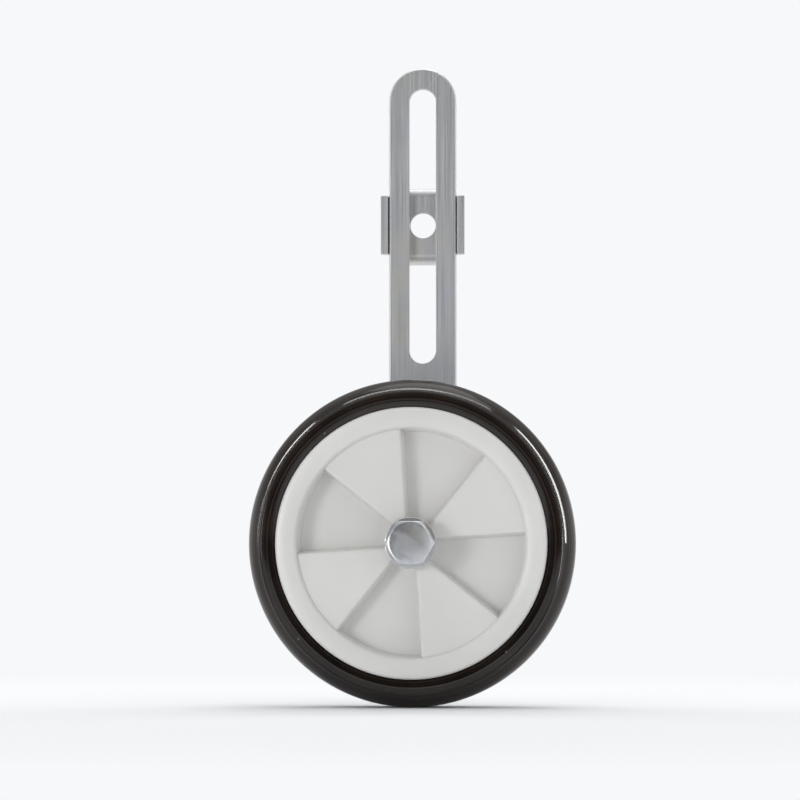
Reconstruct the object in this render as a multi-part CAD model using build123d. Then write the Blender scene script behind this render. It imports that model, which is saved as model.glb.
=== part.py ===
"""One bicycle training wheel (stabiliser): wheel, axle bolt set, slotted stay arm and fixing plate.

Frame: origin in the rear-axle hole, on the stay arm's inboard face. +Y points inboard to the
bicycle, -Y outboard to the open face of the wheel, +X forward and +Z up. Millimetres.
"""

import math
import os

from build123d import *

# Moulded hub
rim_opening_diameter = 89.0
rim_wall = 4.5
rim_flange_height = 3.5
rim_flange_width = 5.0
rim_width = 30.0
rim_crown = 0.9
rim_edge_break = 0.7
panel_setback = 2.4
panel_wall = 2.6
pocket_count = 4
pocket_angle = 42.0
pocket_side_offset = 1.5
pocket_depth = 7.0
pocket_draft = 8.0
pocket_lip = 0.5
boss_diameter = 15.0
boss_foot_radius = 1.4
boss_edge_radius = 0.7
rib_depth = 11.0
rib_thickness = 2.4
wheel_turn = 72.4

# Tyre
tyre_clearance = 0.1
tyre_side_height = 6.1
tyre_side_crown = 0.4
tyre_shoulder_height = 4.8
tyre_crease_width = 25.6
tyre_tread_width = 9.0

# Axle bolt set
bolt_diameter = 10.0
bolt_tip_length = 4.0
bolt_tip_chamfer = 1.2
hexagon_across_flats = 17.0
bolt_head_height = 6.4
jam_nut_height = 5.0
lock_nut_height = 10.0
lock_nut_hexagon_height = 7.2
lock_ring_height = 2.2
lock_ring_outer_diameter = 13.2
washer_diameter = 20.0
washer_hole_diameter = 10.6
washer_thickness = 2.0
spring_washer_diameter = 18.0
spring_washer_hole_diameter = 10.4
spring_washer_thickness = 2.2
spring_washer_gap = 1.6
hub_running_clearance = 0.1
thread_clearance = 0.05
end_float = 0.3

# Stay arm
strip_width = 28.0
strip_thickness = 4.0
strip_edge_break = 0.6
strip_bend_radius = 8.0
arm_reach = 60.0
lower_bend_height = 21.0
upper_bend_height = 57.0
arm_hole_diameter = 10.5
slot_width = 11.0
shortest_setting = 80.0
longest_setting = 183.0
rest_setting = 132.0
bead_radius = 6.0
bead_height = 1.8
bead_length = 26.0

# Fixing plate
plate_thickness = 3.0
plate_bend_radius = 0.6
plate_edge_clearance = 0.3
flange_height = 24.0
flange_reach = 4.6
lug_width = 18.0
lug_gap = 25.0
lug_reach = 10.0
lug_corner_radius = 3.0
axle_hole_diameter = 10.5

# Places along the axle, outboard of the lower leg's outer face
half_rim = rim_width / 2
hub_start = 2 * washer_thickness + jam_nut_height + end_float
rim_middle = hub_start + half_rim
head_washer_start = rim_middle + half_rim + end_float
head_start = head_washer_start + washer_thickness
spring_washer_start = -strip_thickness - washer_thickness - spring_washer_thickness
lock_nut_start = spring_washer_start - lock_nut_height
bolt_tip = lock_nut_start - bolt_tip_length

# Heights in the hub, from its middle plane
rim_shoulder = half_rim - rim_crown
panel_face = half_rim - panel_setback
pocket_floor = panel_face - pocket_depth
web_back = pocket_floor - panel_wall
draft_slope = math.tan(math.radians(pocket_draft))

# Local frame of the axle: z outboard, x forward, y up
axle_frame = Plane((0, -arm_reach - strip_thickness, -rest_setting), (1, 0, 0), (0, -1, 0))


def on_axle(shape, start):
    """Puts a shape drawn along local z at a distance outboard of the lower leg's outer face."""
    return axle_frame.location * Pos(0, 0, start) * shape


def turned(edges):
    """Revolves a closed outline, drawn as x = radius and y = height, about local z."""
    return revolve(Plane.XZ * make_face(edges), Axis.Z)


def hexagon(height, both_ends):
    """A hexagonal prism with its corners turned down at the free ends."""
    corner_radius = hexagon_across_flats / math.cos(math.radians(30)) / 2
    corner_cut = corner_radius - 0.47 * hexagon_across_flats
    drum = extrude(Circle(corner_radius), height)
    ends = drum.edges().sort_by(Axis.Z)
    ends = [ends[0], ends[-1]] if both_ends else [ends[-1]]
    drum = chamfer(ends, corner_cut * math.tan(math.radians(30)), corner_cut)
    return drum & extrude(RegularPolygon(hexagon_across_flats / 2, 6, major_radius=False), height)


def wedge(offset):
    """A long wedge along x, its sides pushed out from the pocket's radial lines by an offset."""
    half = math.radians(pocket_angle / 2)
    apex = -offset / math.sin(half)
    reach = rim_opening_diameter
    tips = [(apex + reach * math.cos(half), side * reach * math.sin(half)) for side in (-1, 1)]
    return make_face(Polyline((apex, 0), tips[0], tips[1], close=True))


# Hub: rim with a tyre channel, boss and a web that is turned first
bore = bolt_diameter / 2 + hub_running_clearance
boss = boss_diameter / 2
opening = rim_opening_diameter / 2
seat = opening + rim_wall
rim = seat + rim_flange_height
half_seat = half_rim - rim_flange_width
crest = (opening + rim) / 2
panel_edge = opening - (rim_shoulder - panel_face) * draft_slope
back_edge = opening - (rim_shoulder + web_back) * draft_slope / 4
hub_outline = [
    Polyline(
        (bore, -half_rim),
        (bore, half_rim),
        (boss - boss_edge_radius, half_rim),
    ),
    RadiusArc((boss - boss_edge_radius, half_rim), (boss, half_rim - boss_edge_radius), boss_edge_radius),
    Line((boss, half_rim - boss_edge_radius), (boss, panel_face + boss_foot_radius)),
    RadiusArc((boss, panel_face + boss_foot_radius), (boss + boss_foot_radius, panel_face), -boss_foot_radius),
    Polyline((boss + boss_foot_radius, panel_face), (panel_edge, panel_face), (opening, rim_shoulder)),
    ThreePointArc((opening, rim_shoulder), (crest, half_rim), (rim, rim_shoulder)),
    Polyline(
        (rim, rim_shoulder),
        (rim, half_seat),
        (seat, half_seat),
        (seat, -half_seat),
        (rim, -half_seat),
        (rim, -rim_shoulder),
    ),
    ThreePointArc((rim, -rim_shoulder), (crest, -half_rim), (opening, -rim_shoulder)),
    Polyline((opening, -rim_shoulder), (back_edge, web_back), (boss, web_back), (boss, -half_rim), (bore, -half_rim)),
]
hub_section = make_face([edge for line in hub_outline for edge in line.edges()])
rim_corners = hub_section.vertices().filter_by(
    lambda corner: corner.X > opening - 0.01 and abs(abs(corner.Y) - rim_shoulder) < 0.01
)
hub_section = chamfer(rim_corners, rim_edge_break)
hub = revolve(Plane.XZ * hub_section, Axis.Z)

# Hub: drafted pockets sunk from the open face
pocket_step = 360 / pocket_count
floor_edge = opening - (rim_shoulder - pocket_floor) * draft_slope
well = turned(
    Polyline(
        (boss, pocket_floor),
        (floor_edge, pocket_floor),
        (panel_edge, panel_face),
        (boss, panel_face + boss_foot_radius),
        close=True,
    ).edges()
)
plug_top = panel_face + boss_foot_radius
plug_offset = pocket_side_offset + boss_foot_radius * draft_slope
plug_depth = pocket_depth + boss_foot_radius
plug = Pos(0, 0, plug_top) * Rot(180, 0, 0) * extrude(wedge(plug_offset), plug_depth, taper=pocket_draft)
lip_offset = pocket_side_offset + pocket_lip + boss_foot_radius
lip_plug = Pos(0, 0, plug_top) * Rot(180, 0, 0) * extrude(wedge(lip_offset), pocket_lip + boss_foot_radius, taper=45)
pocket = well & (plug + lip_plug)

# Hub: hollows behind the raised panels, which leave one wall thickness beside each pocket
hollow_top = panel_face - panel_wall
wall_offset = panel_wall / math.cos(math.radians(pocket_draft))
ridge_offset = pocket_side_offset - panel_wall * draft_slope + wall_offset
ridge_height = hollow_top - web_back
ridge = Pos(0, 0, hollow_top) * Rot(180, 0, 0) * extrude(wedge(ridge_offset), ridge_height, taper=pocket_draft)
hollow_edge = back_edge - panel_wall / 3
hollows = Pos(0, 0, web_back) * extrude(Circle(hollow_edge) - Circle(boss), ridge_height)

# Hub: ribs on the closed face, which carry each pocket's side walls on to the boss and rim
rib_offset = pocket_side_offset - (panel_face - web_back) * draft_slope + wall_offset / 2
rib_length = opening - (bore + boss) / 2
ribs = []
for turn in range(pocket_count):
    middle = wheel_turn + turn * pocket_step
    hub -= Rot(0, 0, middle) * pocket
    hollows -= Rot(0, 0, middle) * ridge
    for side in (-1, 1):
        rib = Pos((opening + (bore + boss) / 2) / 2, side * rib_offset, web_back - rib_depth / 2)
        rib *= Box(rib_length, rib_thickness, rib_depth)
        ribs.append(Rot(0, 0, middle + side * pocket_angle / 2) * rib)
hub -= hollows
hub += ribs

# Tyre: a lobe that fills the rim's channel, a flat side, a crease and a rounded shoulder
lobe = seat + tyre_clearance
half_lobe = half_seat - tyre_clearance
lip = rim + tyre_clearance
crease = lip + tyre_side_height
tread = crease + tyre_shoulder_height
half_crease = tyre_crease_width / 2
half_tread = tyre_tread_width / 2
tyre_outline = [Line((tread, -half_tread), (tread, half_tread))]
for side in (1, -1):
    side_crown = ((lip + crease) / 2, side * (half_crease + tyre_side_crown))
    tyre_outline += [
        Polyline((lobe, 0), (lobe, side * half_lobe), (lip, side * half_lobe), (lip, side * half_crease)),
        ThreePointArc((lip, side * half_crease), side_crown, (crease, side * half_crease)),
        TangentArc((tread, side * half_tread), (crease, side * half_crease), tangent=(0, side)),
    ]
tyre = turned([edge for line in tyre_outline for edge in line.edges()])

# Axle bolt: hexagon head, shank and chamfered tip
shank = extrude(Circle(bolt_diameter / 2), head_start - bolt_tip)
shank = chamfer(shank.edges().sort_by(Axis.Z)[0], bolt_tip_chamfer)
axle_bolt = on_axle(shank, bolt_tip) + on_axle(hexagon(bolt_head_height, False), head_start)

# Washers: one under the bolt's head, one behind the hub and one on each side of the arm
flat_washer = extrude(Circle(washer_diameter / 2) - Circle(washer_hole_diameter / 2), washer_thickness)
head_washer = on_axle(flat_washer, head_washer_start)
hub_washer = on_axle(flat_washer, hub_start - end_float - washer_thickness)
outer_arm_washer = on_axle(flat_washer, 0)
inner_arm_washer = on_axle(flat_washer, -strip_thickness - washer_thickness)

# Spring washer: a ring cut through on the slant
slit = Rot(30, 0, 0) * Box(spring_washer_diameter, spring_washer_gap, 4 * spring_washer_thickness)
slit = Pos(spring_washer_diameter / 2, 0, spring_washer_thickness / 2) * slit
spring_ring = Circle(spring_washer_diameter / 2) - Circle(spring_washer_hole_diameter / 2)
spring_washer = on_axle(extrude(spring_ring, spring_washer_thickness) - slit, spring_washer_start)

# Nuts: a thin one that locks the bolt to the arm, and a self-locking one with a plastic ring
thread_bore = bolt_diameter / 2 + thread_clearance
jam_nut = hexagon(jam_nut_height, True) - extrude(Circle(thread_bore), jam_nut_height)
jam_nut = on_axle(jam_nut, washer_thickness)
collar_height = lock_nut_height - lock_nut_hexagon_height
collar = extrude(Circle(0.455 * hexagon_across_flats), lock_nut_height / 2)
collar = chamfer(collar.edges().sort_by(Axis.Z)[0], collar_height / 3)
ring_start = collar_height - lock_ring_height
ring_seat = lock_ring_outer_diameter / 2
lock_nut = collar + Pos(0, 0, collar_height) * hexagon(lock_nut_hexagon_height, True)
lock_nut -= extrude(Circle(thread_bore), lock_nut_height)
lock_nut -= extrude(Circle((thread_bore + ring_seat) / 2), ring_start)
lock_nut -= Pos(0, 0, ring_start) * extrude(Circle(ring_seat), lock_ring_height)
lock_nut = on_axle(lock_nut, lock_nut_start)
lock_ring = extrude(Circle(ring_seat - thread_clearance) - Circle(thread_bore), lock_ring_height)
lock_ring = on_axle(lock_ring, lock_nut_start + ring_start)

# Stay arm: strip bent twice, with rounded ends, then the bead, bolt hole and long slot
leg = strip_thickness / 2
bolt_level = -rest_setting
top_level = bolt_level + longest_setting
arm_path = FilletPolyline(
    (-arm_reach - leg, bolt_level - strip_width),
    (-arm_reach - leg, bolt_level + lower_bend_height),
    (-leg, bolt_level + upper_bend_height),
    (-leg, top_level + strip_width),
    radius=strip_bend_radius,
)
strip = extrude(Plane.YZ * trace(arm_path, strip_thickness), strip_width, both=True)
blank = Pos(0, bolt_level + longest_setting / 2) * Rot(0, 0, 90) * SlotCenterToCenter(longest_setting, strip_width)
stay_arm = strip & extrude(Plane.XZ * blank, 2 * arm_reach, both=True)


def on_outline(edge):
    """Tells the strip's sheared edges from the seams across its thickness and its bends."""
    middle = edge.position_at(0.5)
    beyond = max(middle.Z - top_level, bolt_level - middle.Z, 0)
    return abs(math.hypot(middle.X, beyond) - strip_width / 2) < 0.01 and abs(edge.tangent_at(0.5).Y) < 0.99


stay_arm = chamfer(stay_arm.edges().filter_by(on_outline), strip_edge_break)
slope = Vector(0, arm_reach, upper_bend_height - lower_bend_height).normalized()
outward = Vector(0, -slope.Z, slope.Y)
slope_middle = Vector(0, -arm_reach / 2 - leg, bolt_level + (lower_bend_height + upper_bend_height) / 2)
bead = Cylinder(bead_radius, bead_length)
bead += [Pos(0, 0, end * bead_length / 2) * Sphere(bead_radius) for end in (-1, 1)]
for face in (1, -1):
    bead_centre = slope_middle + outward * (face * leg + bead_height - bead_radius)
    pressed = Plane(bead_centre, x_dir=(1, 0, 0), z_dir=slope).location * bead
    stay_arm = stay_arm + pressed if face > 0 else stay_arm - pressed
slot_length = longest_setting - shortest_setting
slot = Pos(0, bolt_level + (shortest_setting + longest_setting) / 2)
slot *= Rot(0, 0, 90) * SlotCenterToCenter(slot_length, slot_width)
stay_arm -= extrude(Plane.XZ * slot, strip_thickness)
stay_arm -= on_axle(extrude(Circle(arm_hole_diameter / 2), -strip_thickness), 0)

# Fixing plate: a cross of sheet, two wings folded round the arm and two lugs folded inboard
wing = strip_width / 2 + plate_edge_clearance
wing_path = FilletPolyline(
    (-wing - plate_thickness / 2, -flange_reach),
    (-wing - plate_thickness / 2, plate_thickness / 2),
    (wing + plate_thickness / 2, plate_thickness / 2),
    (wing + plate_thickness / 2, -flange_reach),
    radius=plate_bend_radius + plate_thickness / 2,
)
lug_path = FilletPolyline(
    (plate_thickness + lug_reach, -(lug_gap + plate_thickness) / 2),
    (plate_thickness / 2, -(lug_gap + plate_thickness) / 2),
    (plate_thickness / 2, (lug_gap + plate_thickness) / 2),
    (plate_thickness + lug_reach, (lug_gap + plate_thickness) / 2),
    radius=plate_bend_radius + plate_thickness / 2,
)
fixing_plate = extrude(trace(wing_path, plate_thickness), flange_height / 2, both=True)
lugs = extrude(Plane.YZ * trace(lug_path, plate_thickness), lug_width / 2, both=True)
lug_corners = lugs.edges().filter_by(Axis.Z).group_by(Axis.Y)[-1]
fixing_plate += fillet(lug_corners, lug_corner_radius)
fixing_plate -= extrude(Plane.XZ * Circle(axle_hole_diameter / 2), -plate_thickness)

os.makedirs("parts", exist_ok=True)
wheel_pieces = {"hub": hub, "tyre": tyre}
pieces = {
    "axle_bolt": axle_bolt,
    "head_washer": head_washer,
    "hub_washer": hub_washer,
    "outer_arm_washer": outer_arm_washer,
    "inner_arm_washer": inner_arm_washer,
    "spring_washer": spring_washer,
    "jam_nut": jam_nut,
    "lock_nut": lock_nut,
    "lock_ring": lock_ring,
    "stay_arm": stay_arm,
    "fixing_plate": fixing_plate,
}
for name, piece in wheel_pieces.items():
    pieces[name] = on_axle(piece, rim_middle)
for name, piece in pieces.items():
    export_step(piece, f"parts/{name}.step")
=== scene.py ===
import math

import bpy
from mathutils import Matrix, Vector


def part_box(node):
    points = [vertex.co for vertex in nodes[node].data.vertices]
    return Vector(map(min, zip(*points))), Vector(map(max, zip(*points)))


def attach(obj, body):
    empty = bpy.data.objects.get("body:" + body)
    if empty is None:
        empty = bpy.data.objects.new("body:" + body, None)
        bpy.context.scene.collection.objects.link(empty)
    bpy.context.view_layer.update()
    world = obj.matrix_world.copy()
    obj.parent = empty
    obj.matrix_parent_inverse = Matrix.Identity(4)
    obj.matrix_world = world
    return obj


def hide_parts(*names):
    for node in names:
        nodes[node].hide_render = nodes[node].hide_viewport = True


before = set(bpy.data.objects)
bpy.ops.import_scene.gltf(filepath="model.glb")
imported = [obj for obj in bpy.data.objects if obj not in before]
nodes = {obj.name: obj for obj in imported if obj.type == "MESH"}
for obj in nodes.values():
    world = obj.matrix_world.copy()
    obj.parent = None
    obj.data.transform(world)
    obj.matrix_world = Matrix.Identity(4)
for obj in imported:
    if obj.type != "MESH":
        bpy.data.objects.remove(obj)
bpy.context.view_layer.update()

# Hub: one white plastic moulding with a crowned rim, a boss and a web of raised panels and
# sunk pockets. It leaves the mould with a soft gloss, faint flow clouds and rounded edges.
wheel_low, wheel_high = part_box("tyre")
wheel_centre = (Vector(wheel_low) + Vector(wheel_high)) / 2
hub_shade = (0.72, 0.712, 0.69)
hub_white = (0.77, 0.763, 0.744)
hub_edge = 0.0009


def set_inputs(node, **values):
    """Sets a node's inputs, each named as its socket is, with _ for a space."""
    for name, value in values.items():
        node.inputs[name.replace("_", " ")].default_value = value


def new_finish(name):
    finish = bpy.data.materials.new(name)
    finish.use_nodes = True
    return finish, finish.node_tree.nodes["Principled BSDF"]


def add_node(finish, kind, **values):
    node = finish.node_tree.nodes.new("ShaderNode" + kind)
    set_inputs(node, **values)
    return node


def join(finish, source, target):
    finish.node_tree.links.new(source, target)


def pattern_space(finish, centre, stretch=(1, 1, 1)):
    """Object coordinates moved to a piece's centre and stretched."""
    coordinates = add_node(finish, "TexCoord")
    shift = [-place * scale for place, scale in zip(centre, stretch)]
    mapping = add_node(finish, "Mapping", Location=shift, Scale=stretch)
    join(finish, coordinates.outputs["Object"], mapping.inputs["Vector"])
    return mapping.outputs["Vector"]


def noise(finish, space, scale, detail=2.0, roughness=0.5):
    texture = add_node(finish, "TexNoise", Scale=scale, Detail=detail, Roughness=roughness)
    join(finish, space, texture.inputs["Vector"])
    return texture.outputs["Fac"]


def ramp(finish, value, stops):
    """A colour ramp from (position, grey or colour) stops."""
    band = add_node(finish, "ValToRGB")
    elements = band.color_ramp.elements
    while len(elements) < len(stops):
        elements.new(0.5)
    for element, (position, tone) in zip(elements, stops):
        colour = (tone,) * 3 if isinstance(tone, float) else tone
        element.position = position
        element.color = (*colour, 1)
    join(finish, value, band.inputs["Fac"])
    return band.outputs["Color"]


def paint(finish, shader, colour, roughness):
    join(finish, colour, shader.inputs["Base Color"])
    join(finish, roughness, shader.inputs["Roughness"])


def bump(finish, shader, edge_radius, layers):
    """Rounds the edges, then stacks bump layers of (height, distance in metres, strength)."""
    edges = add_node(finish, "Bevel", Radius=edge_radius)
    edges.samples = 6
    normal = edges.outputs["Normal"]
    for height, distance, strength in layers:
        relief = add_node(finish, "Bump", Distance=distance, Strength=strength)
        join(finish, height, relief.inputs["Height"])
        join(finish, normal, relief.inputs["Normal"])
        normal = relief.outputs["Normal"]
    join(finish, normal, shader.inputs["Normal"])


def dress(piece, finish):
    piece.data.materials.clear()
    piece.data.materials.append(finish)


white_plastic, shader = new_finish("white_moulded_plastic")
space = pattern_space(white_plastic, wheel_centre)
clouds = noise(white_plastic, space, scale=26, detail=3)
skin = noise(white_plastic, space, scale=420, detail=4, roughness=0.6)
paint(
    white_plastic,
    shader,
    colour=ramp(white_plastic, clouds, [(0.3, hub_shade), (0.7, hub_white)]),
    roughness=ramp(white_plastic, skin, [(0.3, 0.33), (0.75, 0.42)]),
)
waves = noise(white_plastic, space, scale=45)
grain = noise(white_plastic, space, scale=2600)
bump(white_plastic, shader, hub_edge, [(waves, 0.0006, 0.25), (grain, 0.00004, 0.25)])
set_inputs(
    shader,
    IOR=1.49,
    Subsurface_Weight=0.25,
    Subsurface_Radius=(1.0, 0.95, 0.85),
    Subsurface_Scale=0.0015,
)
dress(nodes["hub"], white_plastic)

# Tyre: one soft black ring, moulded and stretched over the rim. Its skin is glossy from the
# mould, with fine turned rings, a sharp line at the crease between side and shoulder, a parting
# line round the tread, smears and a few specks of dust. Its colour is its own brown-black, with
# lighter brown streaks along the rings and smears that are a painted reflection.
crease_radius = 0.0587
crease_half_width = 0.0006
parting_half_width = 0.00022
tyre_edge = 0.0004
tyre_black = (0.0055, 0.0041, 0.0034)
tyre_brown_and_painted_reflection = (0.0220, 0.0160, 0.0128)
ring_share = 0.6
dust_colour = (0.085, 0.080, 0.074, 1)
dust_size = 0.12
dust_rarity = 0.965


def reckon(finish, operation, first, second=0.0):
    """A maths node on two values, each a socket or a number."""
    maths = add_node(finish, "Math")
    maths.operation = operation
    for place, value in enumerate((first, second)):
        if isinstance(value, (int, float)):
            maths.inputs[place].default_value = value
        else:
            join(finish, value, maths.inputs[place])
    return maths.outputs["Value"]


def distance_from(finish, centre, stretch):
    """The distance from a centre, along the axes that the stretch keeps."""
    length = add_node(finish, "VectorMath")
    length.operation = "LENGTH"
    join(finish, pattern_space(finish, centre, stretch), length.inputs[0])
    return length.outputs["Value"]


black_tyre, shader = new_finish("black_moulded_tyre")
space = pattern_space(black_tyre, wheel_centre)
radius = distance_from(black_tyre, wheel_centre, (1, 0, 1))
smears = noise(black_tyre, space, scale=38, detail=4, roughness=0.6)
turning_marks = add_node(black_tyre, "TexNoise", Scale=1300.0, Detail=2.0)
turning_marks.noise_dimensions = "1D"
join(black_tyre, radius, turning_marks.inputs["W"])
rings = turning_marks.outputs["Fac"]
streaks = reckon(
    black_tyre,
    "ADD",
    reckon(black_tyre, "MULTIPLY", rings, ring_share),
    reckon(black_tyre, "MULTIPLY", smears, 1 - ring_share),
)
specks = add_node(black_tyre, "TexVoronoi", Scale=300.0)
join(black_tyre, space, specks.inputs["Vector"])
lot = add_node(black_tyre, "SeparateColor")
join(black_tyre, specks.outputs["Color"], lot.inputs["Color"])
dust = reckon(
    black_tyre,
    "MULTIPLY",
    reckon(black_tyre, "LESS_THAN", specks.outputs["Distance"], dust_size),
    reckon(black_tyre, "GREATER_THAN", lot.outputs["Red"], dust_rarity),
)
# Painted reflection: lighter brown streaks along the rings and the smears, over the tyre's own
# brown-black.
rubber_and_painted_reflection = ramp(black_tyre, streaks, [(0.40, tyre_black), (0.64, tyre_brown_and_painted_reflection)])
dusty = add_node(black_tyre, "MixRGB", Color2=dust_colour)
join(black_tyre, dust, dusty.inputs["Fac"])
join(black_tyre, rubber_and_painted_reflection, dusty.inputs["Color1"])
paint(
    black_tyre,
    shader,
    colour=dusty.outputs["Color"],
    roughness=ramp(black_tyre, smears, [(0.3, 0.06), (0.72, 0.13)]),
)
crease = add_node(black_tyre, "MapRange", From_Max=crease_half_width, To_Min=1.0, To_Max=0.0)
crease.interpolation_type = "SMOOTHSTEP"
past_crease = reckon(black_tyre, "SUBTRACT", radius, crease_radius)
join(black_tyre, reckon(black_tyre, "ABSOLUTE", past_crease), crease.inputs["Value"])
off_middle = distance_from(black_tyre, wheel_centre, (0, 1, 0))
parting = reckon(black_tyre, "LESS_THAN", off_middle, parting_half_width)
pores = noise(black_tyre, space, scale=1500, detail=3)
bump(
    black_tyre,
    shader,
    tyre_edge,
    [
        (rings, 0.0001, 0.28),
        (pores, 0.00002, 0.1),
        (parting, 0.00015, 1.0),
        (crease.outputs["Result"], 0.0003, 1.0),
    ],
)
set_inputs(shader, IOR=1.52, Specular_IOR_Level=0.36)
dress(nodes["tyre"], black_tyre)

# Axle bolt: a forged steel hexagon bolt with a rolled thread, plated bright. Its head holds the
# wheel on, and its tip stands out past the lock nut behind the arm.
bolt_low, bolt_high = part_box("axle_bolt")
flats = 0.017
head_height = 0.0064
head_turn = math.radians(30)
head_face_radius = 0.47 * flats
corner_slope = math.radians(30)
head_edge = 0.00028
shank_radius = 0.005
bar_sides = 72
thread_pitch = 0.0015
thread_depth = 0.0009
thread_root = 0.0002
thread_fill = 0.97
pitches_covered = 3
turn_steps = 60
tip_length = 0.0006
tip_bevel = 0.0007
overlap = 0.0005
seam_gap = 2e-6
sharp_angle = math.radians(25)
smooth_angle = math.radians(32)
bolt_plating = [
    (0.3, (0.56, 0.58, 0.615)),
    (0.52, (0.645, 0.65, 0.655)),
    (0.72, (0.69, 0.675, 0.635)),
]
fastener_edge = 0.0003
scratch_stretch = (1, 1, 0.025)


def deselect():
    if bpy.context.object is not None and bpy.context.object.mode == "EDIT":
        bpy.ops.object.mode_set(mode="OBJECT")
    bpy.ops.object.select_all(action="DESELECT")


def pick(*pieces):
    """Selects pieces alone, the first of them active."""
    deselect()
    for piece in pieces:
        piece.select_set(True)
    bpy.context.view_layer.objects.active = pieces[0]


def settle(piece):
    """Puts a piece's place, turn and scale into its mesh."""
    pick(piece)
    bpy.ops.object.transform_apply(location=True, rotation=True, scale=True)


def apply_modifiers(piece):
    pick(piece)
    for modifier in list(piece.modifiers):
        bpy.ops.object.modifier_apply(modifier=modifier.name)


def combine(piece, other, operation):
    """Cuts a piece by another or unites the two, and deletes the other."""
    combining = piece.modifiers.new("combined", "BOOLEAN")
    combining.operation = operation
    combining.solver = "EXACT"
    combining.object = other
    apply_modifiers(piece)
    bpy.data.objects.remove(other)


def round_bar(name, start, end, start_radius, end_radius):
    """A turned bar or cone along the axle, from its outboard start to its end."""
    deselect()
    bpy.ops.mesh.primitive_cone_add(
        vertices=bar_sides,
        radius1=start_radius,
        radius2=end_radius,
        depth=end - start,
        location=(wheel_centre.x, (start + end) / 2, wheel_centre.z),
        rotation=(-math.pi / 2, 0, 0),
    )
    bar = bpy.context.object
    bar.name = name
    return bar


def ease_edges(piece, width):
    """Closes a mesh's seams and rounds its sharp edges."""
    weld = piece.modifiers.new("closed_seams", "WELD")
    weld.merge_threshold = seam_gap
    rounding = piece.modifiers.new("rounded_edges", "BEVEL")
    rounding.limit_method = "ANGLE"
    rounding.angle_limit = sharp_angle
    rounding.width = width
    rounding.segments = 3
    rounding.use_clamp_overlap = True
    even = piece.modifiers.new("even_normals", "WEIGHTED_NORMAL")
    even.weight = 80


head_start = bolt_low[1]
head_end = head_start + head_height
deselect()
bpy.ops.mesh.primitive_cylinder_add(
    vertices=6,
    radius=flats / math.sqrt(3),
    depth=head_height,
    location=(wheel_centre.x, (head_start + head_end) / 2, wheel_centre.z),
    rotation=(math.pi / 2, head_turn, 0),
)
bolt = bpy.context.object
bolt.name = "axle_bolt_threaded"
cone_end_radius = head_face_radius + head_height / math.tan(corner_slope)
corner_cone = round_bar("corner_cone", head_start, head_end, head_face_radius, cone_end_radius)
combine(bolt, corner_cone, "INTERSECT")
settle(bolt)
ease_edges(bolt, head_edge)
apply_modifiers(bolt)

tip_end = bolt_high[1]
thread_start = tip_end - tip_length - pitches_covered * thread_pitch
core_radius = shank_radius - thread_depth
shank = round_bar("shank", head_end - overlap, thread_start, shank_radius, shank_radius)
core = round_bar("core", thread_start - overlap, tip_end, core_radius, core_radius)
bpy.ops.object.mode_set(mode="EDIT")
bpy.ops.mesh.select_mode(type="FACE")
bpy.ops.mesh.select_all(action="DESELECT")
bpy.ops.object.mode_set(mode="OBJECT")
for face in core.data.polygons:
    face.select = len(face.vertices) > 4 and face.normal.z > 0.9
bpy.ops.object.mode_set(mode="EDIT")
bpy.ops.mesh.bevel(offset=tip_bevel, segments=2)
deselect()

bpy.ops.mesh.primitive_circle_add(vertices=3, radius=1)
thread = bpy.context.object
thread.name = "thread"
thread.rotation_euler = (0, 0, -math.pi / 2)
settle(thread)
triangle_reach = 1.5
triangle_side = math.sqrt(3)
thread.scale = (
    (thread_depth + thread_root) / triangle_reach,
    thread_fill * thread_pitch / triangle_side,
    1,
)
thread.location = (shank_radius - thread.scale.x, thread_pitch / 2, 0)
settle(thread)
# The ridge is about a pitch wide, so it makes one turn fewer than the pitches that it covers.
rolling = thread.modifiers.new("rolled_thread", "SCREW")
rolling.axis = "Y"
rolling.screw_offset = thread_pitch
rolling.iterations = pitches_covered - 1
rolling.steps = rolling.render_steps = turn_steps
rolling.use_merge_vertices = True
rolling.merge_threshold = 1e-6
apply_modifiers(thread)
bpy.ops.object.mode_set(mode="EDIT")
bpy.ops.mesh.select_all(action="SELECT")
bpy.ops.mesh.fill_holes(sides=3)
bpy.ops.mesh.normals_make_consistent(inside=False)
deselect()
thread.location = (wheel_centre.x, thread_start, wheel_centre.z)
settle(thread)
for piece in (shank, core):
    settle(piece)
    combine(bolt, piece, "UNION")
pick(bolt, thread)
bpy.ops.object.join()
pick(bolt)
bpy.ops.object.shade_smooth_by_angle(angle=smooth_angle)
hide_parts("axle_bolt")
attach(bolt, "arm")


def scratch_lines(finish, space, scale, turns):
    """Fine straight scratches across a piece, in the directions that the turns give."""
    lines = 0.0
    for turn in turns:
        turned = add_node(finish, "Mapping", Rotation=(0, math.radians(turn), 0))
        join(finish, space, turned.inputs["Vector"])
        drawn_out = add_node(finish, "Mapping", Scale=scratch_stretch)
        join(finish, turned.outputs["Vector"], drawn_out.inputs["Vector"])
        scored = noise(finish, drawn_out.outputs["Vector"], scale, detail=1)
        scratch = ramp(finish, scored, [(0.72, 0.0), (0.76, 1.0)])
        lines = reckon(finish, "MAXIMUM", lines, scratch)
    return lines


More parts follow.
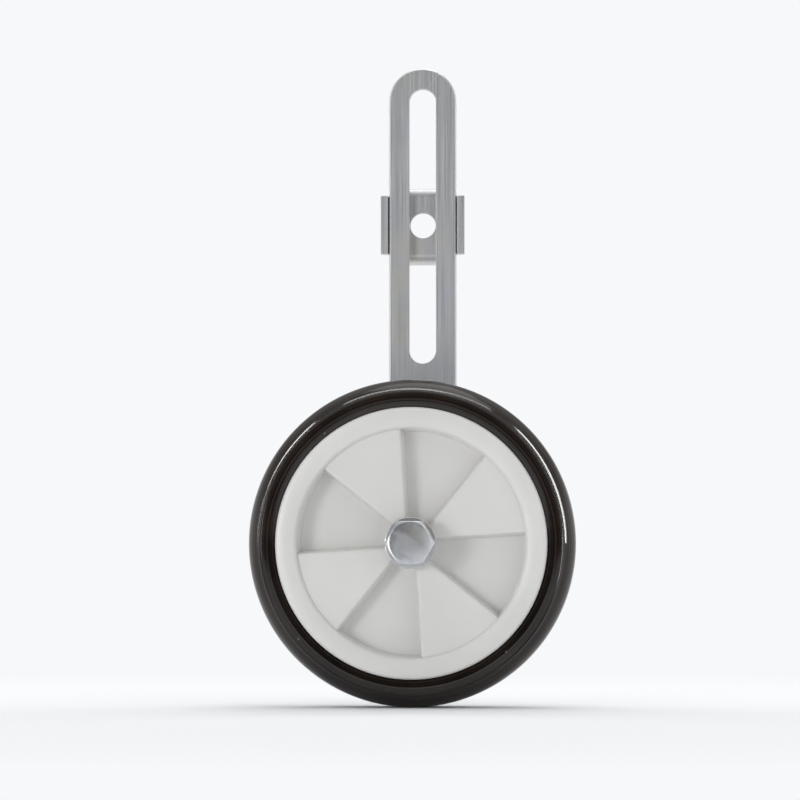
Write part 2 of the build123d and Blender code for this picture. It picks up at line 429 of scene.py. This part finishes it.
zinc_fastener, shader = new_finish("bright_zinc_fastener")
space = pattern_space(zinc_fastener, wheel_centre)
tints = noise(zinc_fastener, space, scale=70, detail=3)
dents = noise(zinc_fastener, space, scale=260)
grit = noise(zinc_fastener, space, scale=700, detail=4, roughness=0.65)
scratches = scratch_lines(zinc_fastener, space, scale=2000, turns=(25, -50))
satin = ramp(zinc_fastener, grit, [(0.3, 0.28), (0.75, 0.36)])
dulling = reckon(zinc_fastener, "MULTIPLY", scratches, 0.12)
paint(
    zinc_fastener,
    shader,
    colour=ramp(zinc_fastener, tints, bolt_plating),
    roughness=reckon(zinc_fastener, "ADD", satin, dulling),
)
bump(
    zinc_fastener,
    shader,
    fastener_edge,
    [(dents, 0.00003, 0.05), (grit, 0.00001, 0.1), (scratches, 0.00001, -0.2)],
)
set_inputs(shader, Metallic=1.0)
dress(bolt, zinc_fastener)

# Washers: stamped steel rings, plated bright. One lies under the bolt's head, one behind the hub,
# one on each side of the arm, and a split spring washer lies under the lock nut.
washer_edge = 0.0003
for name in ("head_washer", "hub_washer", "outer_arm_washer", "inner_arm_washer", "spring_washer"):
    dress(nodes[name], zinc_fastener)
    ease_edges(nodes[name], washer_edge)

# Nuts: a thin nut that locks the bolt to the arm and leaves the wheel free, and a lock nut behind
# the arm with a pale plastic ring in its collar, which grips the thread.
nut_edge = 0.00025
for name in ("jam_nut", "lock_nut"):
    dress(nodes[name], zinc_fastener)
    ease_edges(nodes[name], nut_edge)
nylon_edge = 0.0002
nylon_soft_edge = 0.0003
nylon_shade = (0.56, 0.55, 0.49)
nylon_pale = (0.66, 0.65, 0.59)
pale_nylon, shader = new_finish("pale_nylon")
space = pattern_space(pale_nylon, wheel_centre)
clouds = noise(pale_nylon, space, scale=240, detail=3)
grain = noise(pale_nylon, space, scale=1200, detail=3)
paint(
    pale_nylon,
    shader,
    colour=ramp(pale_nylon, clouds, [(0.3, nylon_shade), (0.7, nylon_pale)]),
    roughness=ramp(pale_nylon, grain, [(0.3, 0.42), (0.7, 0.58)]),
)
bump(pale_nylon, shader, nylon_soft_edge, [(grain, 0.00003, 0.3)])
set_inputs(
    shader,
    Subsurface_Weight=0.3,
    Subsurface_Radius=(1.0, 0.9, 0.7),
    Subsurface_Scale=0.001,
)
dress(nodes["lock_ring"], pale_nylon)
ease_edges(nodes["lock_ring"], nylon_edge)

# Stay arm: a rolled steel strip, cut, punched and cranked outwards, with a bead pressed along it
# for stiffness, then plated bright. The rolling leaves faint streaks along the strip.
strip_edge = 0.0004
rolling_stretch = (1, 0.02, 0.012)
strip_plating = [
    (0.32, (0.545, 0.565, 0.60)),
    (0.52, (0.60, 0.605, 0.61)),
    (0.72, (0.64, 0.625, 0.585)),
]
part_origin = (0, 0, 0)
zinc_strip, shader = new_finish("bright_zinc_strip")
space = pattern_space(zinc_strip, part_origin)
along_strip = pattern_space(zinc_strip, part_origin, rolling_stretch)
streaks = noise(zinc_strip, along_strip, scale=1500, detail=4, roughness=0.65)
tints = noise(zinc_strip, space, scale=34, detail=4, roughness=0.6)
dents = noise(zinc_strip, space, scale=90)
scratches = scratch_lines(zinc_strip, space, scale=1100, turns=(14, -38))
plating = ramp(zinc_strip, tints, strip_plating)
rolled = add_node(zinc_strip, "MixRGB", Fac=1.0)
rolled.blend_type = "MULTIPLY"
join(zinc_strip, plating, rolled.inputs["Color1"])
join(zinc_strip, ramp(zinc_strip, streaks, [(0.32, 0.88), (0.62, 1.0)]), rolled.inputs["Color2"])
satin = ramp(zinc_strip, streaks, [(0.3, 0.38), (0.75, 0.55)])
dulling = reckon(zinc_strip, "MULTIPLY", scratches, 0.06)
paint(
    zinc_strip,
    shader,
    colour=rolled.outputs["Color"],
    roughness=reckon(zinc_strip, "ADD", satin, dulling),
)
bump(
    zinc_strip,
    shader,
    strip_edge,
    [(streaks, 0.00001, 0.25), (dents, 0.00008, 0.12), (scratches, 0.00001, -0.08)],
)
set_inputs(shader, Metallic=1.0)
dress(nodes["stay_arm"], zinc_strip)
ease_edges(nodes["stay_arm"], strip_edge)

# Fixing plate: pressed from steel strip and plated as the arm is. The bicycle's axle nut clamps it
# to the arm, its two wings keep the arm in line, and its two lugs straddle the frame end.
dress(nodes["fixing_plate"], zinc_strip)
ease_edges(nodes["fixing_plate"], strip_edge)

# Floor: a pale matt sheet that fades, a little way out, to the tone of the room behind it.
# It follows the arm, so that the wheel stands on it at every height.
floor_level = wheel_low[2]
floor_radius = 30
floor_paint = (0.87, 0.88, 0.89, 1)
haze_colour = (0.93, 0.94, 0.955, 1)
haze_start = 0.08
haze_end = 0.42
deselect()
bpy.ops.mesh.primitive_circle_add(
    vertices=64,
    radius=floor_radius,
    fill_type="NGON",
    location=(0, 0, floor_level),
)
floor = bpy.context.object
floor.name = "floor"
settle(floor)
pale_floor, shader = new_finish("pale_floor")
set_inputs(shader, Base_Color=floor_paint, Roughness=0.9, Specular_IOR_Level=0.1)
far = add_node(pale_floor, "MapRange", From_Min=haze_start, From_Max=haze_end)
join(pale_floor, distance_from(pale_floor, wheel_centre, (1, 1, 0)), far.inputs["Value"])
haze = add_node(pale_floor, "Emission", Color=haze_colour, Strength=1.0)
fade = add_node(pale_floor, "MixShader")
join(pale_floor, far.outputs["Result"], fade.inputs["Fac"])
join(pale_floor, shader.outputs["BSDF"], fade.inputs[1])
join(pale_floor, haze.outputs["Emission"], fade.inputs[2])
surface = pale_floor.node_tree.nodes["Material Output"].inputs["Surface"]
join(pale_floor, fade.outputs["Shader"], surface)
dress(floor, pale_floor)
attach(floor, "arm")

# Dark card: a matt black board that stands on the floor behind the camera, which doesn't see it.
# The metal and the tyre's flat sides mirror it, and get their darker tones from it.
card_width = 1.6
card_height = 0.98
card_middle = (-0.1, -1.9, floor_level + 0.5)
card_paint = (0.02, 0.02, 0.02, 1)
deselect()
bpy.ops.mesh.primitive_plane_add(size=1, location=card_middle, rotation=(math.pi / 2, 0, 0))
dark_card = bpy.context.object
dark_card.name = "dark_card"
dark_card.scale = (card_width, card_height, 1)
settle(dark_card)
dark_card.visible_camera = False
card_black, shader = new_finish("card_black")
set_inputs(shader, Base_Color=card_paint, Roughness=0.9)
dress(dark_card, card_black)

# Room: a soft white dome. It is brightest low down, where the floor runs out into it, and darker
# half way up, so that bright metal has tones to mirror.
room_tint = (0.985, 0.995, 1.01)
room_tones = ((0.17, 0.945), (0.45, 0.40), (0.95, 0.70))
room = bpy.data.worlds.new("soft_room")
room.use_nodes = True
direction = add_node(room, "TexCoord")
rise = add_node(room, "SeparateXYZ")
join(room, direction.outputs["Generated"], rise.inputs["Vector"])
dome = ramp(
    room,
    rise.outputs["Z"],
    [(place, tuple(tone * tint for tint in room_tint)) for place, tone in room_tones],
)
join(room, dome, room.node_tree.nodes["Background"].inputs["Color"])
bpy.context.scene.world = room

# Lamps: soft panels at the front left, the front right and overhead for all of the part, narrow
# strips for the tyre alone, which draw thin lines of light round its shoulder, and weak lamps
# behind for the floor and all pieces but the tyre, whose outer edge stays black.
part_middle = (0, -0.06, -0.1)


def lit_pieces(name, pieces):
    """A collection of the pieces that a lamp is kept to."""
    group = bpy.data.collections.new(name)
    for piece in pieces:
        group.objects.link(piece)
    return group


tyre_only = lit_pieces("tyre_only", [nodes["tyre"]])
all_but_tyre = lit_pieces(
    "all_but_tyre",
    [bolt, floor] + [nodes[name] for name in nodes if name != "tyre"],
)
for name, place, aim, width, height, watts, group in (
    ("key_low_left", (-0.75, -1.0, -0.05), part_middle, 0.3, 0.25, 3.0, None),
    ("fill_right", (0.9, -1.0, 0.6), part_middle, 0.8, 0.8, 1.3, None),
    ("top", (0.1, 0.0, 1.3), part_middle, 1.0, 1.0, 4.8, None),
    ("left_edge", (-0.6, -0.26, 0.15), wheel_centre, 0.045, 0.6, 2.4, tyre_only),
    ("right_edge", (0.6, -0.26, 0.15), wheel_centre, 0.075, 0.6, 4.0, tyre_only),
    ("upper_edge", (0, -0.31, 0.8), wheel_centre, 1.0, 0.06, 2.4, tyre_only),
    ("left_rim", (-0.5, 0.24, 0.12), wheel_centre, 0.16, 0.5, 0.8, all_but_tyre),
    ("right_rim", (0.5, 0.24, 0.12), wheel_centre, 0.16, 0.5, 0.8, all_but_tyre),
    ("upper_rim", (0, 0.26, 0.45), wheel_centre, 0.7, 0.14, 0.8, all_but_tyre),
):
    light = bpy.data.lights.new(name, "AREA")
    light.shape = "RECTANGLE"
    light.size = width
    light.size_y = height
    light.energy = watts
    lamp = bpy.data.objects.new(name, light)
    bpy.context.scene.collection.objects.link(lamp)
    lamp.location = place
    lamp.rotation_euler = (Vector(aim) - Vector(place)).to_track_quat("-Z", "Y").to_euler()
    lamp.visible_camera = False
    if group is not None:
        lamp.light_linking.receiver_collection = group

# Camera: it looks nearly square on to the wheel, from a little to the right and a little below, at
# the photograph's scale, in which the tyre is 329 of 800 pixels wide.
tyre_width = 0.127
tyre_pixels = 329
image_pixels = 800
metres_per_pixel = tyre_width / tyre_pixels
pixels_left_of_wheel = 11
pixels_above_wheel = 143
camera_distance = 1.4
camera_turn = math.radians(3)
camera_rise = math.radians(-2.5)
sensor_width = 36
target = Vector((
    -pixels_left_of_wheel * metres_per_pixel,
    wheel_low[1],
    wheel_centre.z + pixels_above_wheel * metres_per_pixel,
))
back = Vector((
    math.sin(camera_turn) * math.cos(camera_rise),
    -math.cos(camera_turn) * math.cos(camera_rise),
    math.sin(camera_rise),
))
lens = bpy.data.cameras.new("camera")
lens.sensor_width = sensor_width
lens.lens = sensor_width * camera_distance / (image_pixels * metres_per_pixel)
camera = bpy.data.objects.new("camera", lens)
bpy.context.scene.collection.objects.link(camera)
camera.location = target + back * camera_distance
camera.rotation_euler = (-back).to_track_quat("-Z", "Y").to_euler()
bpy.context.scene.camera = camera
bpy.context.scene.view_settings.view_transform = "Standard"
